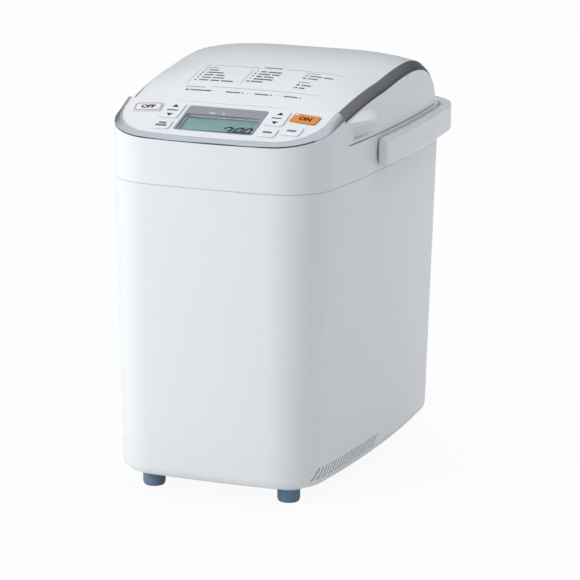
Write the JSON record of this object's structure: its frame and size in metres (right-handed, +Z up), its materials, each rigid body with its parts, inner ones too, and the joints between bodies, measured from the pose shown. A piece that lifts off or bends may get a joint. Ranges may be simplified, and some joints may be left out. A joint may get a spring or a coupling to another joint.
{
  "type": "bread machine",
  "caption": "Vertical one-loaf bread machine: tapered white housing, sloping key panel with display, arched hinged lid, swinging carrying handle, lift-out pan and kneading blade.",
  "frame": {"origin": "middle of the whole length and width, on the plane the feet stand on", "axes": "+Z up, front and control panel towards -Y, +X to the viewer's right"},
  "size_m": [0.226, 0.351, 0.3555],
  "materials": {
    "white_plastic": "glossy moulded white",
    "panel_plastic": "smooth moulded cool white",
    "silver_trim": "silver painted, satin",
    "bezel_silver": "silver grey moulding",
    "lcd_glass": "clear window",
    "lcd_dark": "grey green display",
    "board_green": "lacquered circuit board",
    "black_plastic": "black moulding",
    "key_white": "white key",
    "key_orange": "orange key",
    "foot_rubber": "blue grey rubber",
    "silicone_grey": "grey silicone",
    "belt_rubber": "ribbed drive belt",
    "steel_zinc": "zinc plated sheet and fasteners",
    "steel_shaft": "ground shaft",
    "chamber_steel": "aluminised sheet",
    "heater_sheath": "oxidised heater sheath",
    "nonstick_coat": "dark non-stick coating",
    "sintered_bronze": "sintered bush",
    "motor_zinc": "motor case",
    "pulley_plastic": "moulded pulley",
    "board_brown": "phenolic power board"
  },
  "bodies": {
    "housing": {"lower_housing": "white_plastic", "upper_housing": "white_plastic", "base_tray": "white_plastic", "feet": "foot_rubber", "foot_screws": "steel_zinc", "front_trim": "silver_trim", "control_panel": "panel_plastic", "lcd_bezel": "bezel_silver", "lcd_lens": "lcd_glass", "lcd_module": "lcd_dark", "circuit_board": "board_green", "key_switches": "black_plastic", "chassis": "steel_zinc", "chassis_screws": "steel_zinc", "baking_chamber": "chamber_steel", "heating_element": "heater_sheath", "heater_clips": "steel_zinc", "temperature_probe": "sintered_bronze", "pan_socket": "steel_zinc", "motor_case": "motor_zinc", "motor_bracket": "steel_zinc", "shaft_bearing": "sintered_bronze", "drive_belt": "belt_rubber", "power_board": "board_brown", "cord_gland": "black_plastic", "handle_pivots": "steel_shaft", "hinge_brackets": "white_plastic", "hinge_pins": "steel_shaft"},
    "handle": {"carrying_handle": "white_plastic"},
    "lid": {"lid_cover": "white_plastic", "lid_trim": "silver_trim", "lid_side_left": "white_plastic", "lid_side_right": "white_plastic", "lid_frame": "white_plastic", "lid_inner_plate": "chamber_steel", "lid_gasket": "silicone_grey", "lid_hinge_arms": "white_plastic"},
    "drive": {"large_pulley": "pulley_plastic", "drive_shaft": "steel_shaft", "drive_coupler": "chamber_steel"},
    "motor_rotor": {"motor_shaft": "steel_shaft", "motor_pulley": "pulley_plastic"},
    "pan": {"bread_pan": "nonstick_coat", "pan_base_ring": "steel_zinc", "pan_bush": "sintered_bronze"},
    "pan_bail": {"pan_handle": "steel_shaft"},
    "blade": {"blade_shaft": "steel_shaft", "kneading_blade": "nonstick_coat", "driven_coupler": "chamber_steel"},
    "cancel_key": {"cancel_key": "key_white"},
    "start_key": {"start_key": "key_orange"},
    "crust_key": {"crust_key": "key_white"},
    "timer_key": {"timer_key": "key_white"},
    "cycle_key": {"cycle_key": "key_white"},
    "course_rocker": {"course_rocker": "key_white"},
    "time_rocker": {"time_rocker": "key_white"}
  },
  "joints": [
    {"name": "lid_hinge", "type": "hinge", "parent": "housing", "child": "lid", "pos_m": [0, 0.135, 0.3055], "axis": [-1, 0, 0], "range_deg": [0, 80]},
    {"name": "handle_swing", "type": "hinge", "parent": "housing", "child": "handle", "pos_m": [0, -0.0355, 0.286], "axis": [1, 0, 0], "range_deg": [0, 90]},
    {"name": "cancel_key_press", "type": "slide", "parent": "housing", "child": "cancel_key", "axis": [0, 0.3453, -0.9385], "range_m": [0, 0.0007], "stiffness_N_per_m": 400},
    {"name": "start_key_press", "type": "slide", "parent": "housing", "child": "start_key", "axis": [0, 0.3453, -0.9385], "range_m": [0, 0.0007], "stiffness_N_per_m": 400},
    {"name": "crust_key_press", "type": "slide", "parent": "housing", "child": "crust_key", "axis": [0, 0.3453, -0.9385], "range_m": [0, 0.0007], "stiffness_N_per_m": 400},
    {"name": "timer_key_press", "type": "slide", "parent": "housing", "child": "timer_key", "axis": [0, 0.3453, -0.9385], "range_m": [0, 0.0007], "stiffness_N_per_m": 400},
    {"name": "cycle_key_press", "type": "slide", "parent": "housing", "child": "cycle_key", "axis": [0, 0.3453, -0.9385], "range_m": [0, 0.0007], "stiffness_N_per_m": 400},
    {"name": "course_rocker_tilt", "type": "hinge", "parent": "housing", "child": "course_rocker", "pos_m": [-0.0472, -0.13178, 0.3208], "axis": [1, 0, 0], "range_deg": [-1.5, 1.5], "stiffness_Nm_per_rad": 0.1},
    {"name": "time_rocker_tilt", "type": "hinge", "parent": "housing", "child": "time_rocker", "pos_m": [0.0472, -0.13178, 0.3208], "axis": [1, 0, 0], "range_deg": [-1.5, 1.5], "stiffness_Nm_per_rad": 0.1},
    {"name": "pan_lift", "type": "slide", "parent": "housing", "child": "pan", "axis": [0, 0, 1], "range_m": [0, 0.05]},
    {"name": "pan_handle_swing", "type": "hinge", "parent": "pan", "child": "pan_bail", "pos_m": [0, 0.0125, 0.2275], "axis": [1, 0, 0], "range_deg": [0, 180]},
    {"name": "blade_spin", "type": "hinge", "parent": "pan", "child": "blade", "pos_m": [0, 0.0125, 0.1], "axis": [0, 0, 1], "continuous": true},
    {"name": "drive_spin", "type": "hinge", "parent": "housing", "child": "drive", "pos_m": [0, 0.0125, 0.035], "axis": [0, 0, 1], "continuous": true},
    {"name": "motor_spin", "type": "hinge", "parent": "housing", "child": "motor_rotor", "pos_m": [0, -0.1245, 0.035], "axis": [0, 0, 1], "continuous": true}
  ],
  "couplings": [
    {"joint": "blade_spin", "follows": "drive_spin", "ratio": 1},
    {"joint": "motor_spin", "follows": "drive_spin", "ratio": 4}
  ]
}
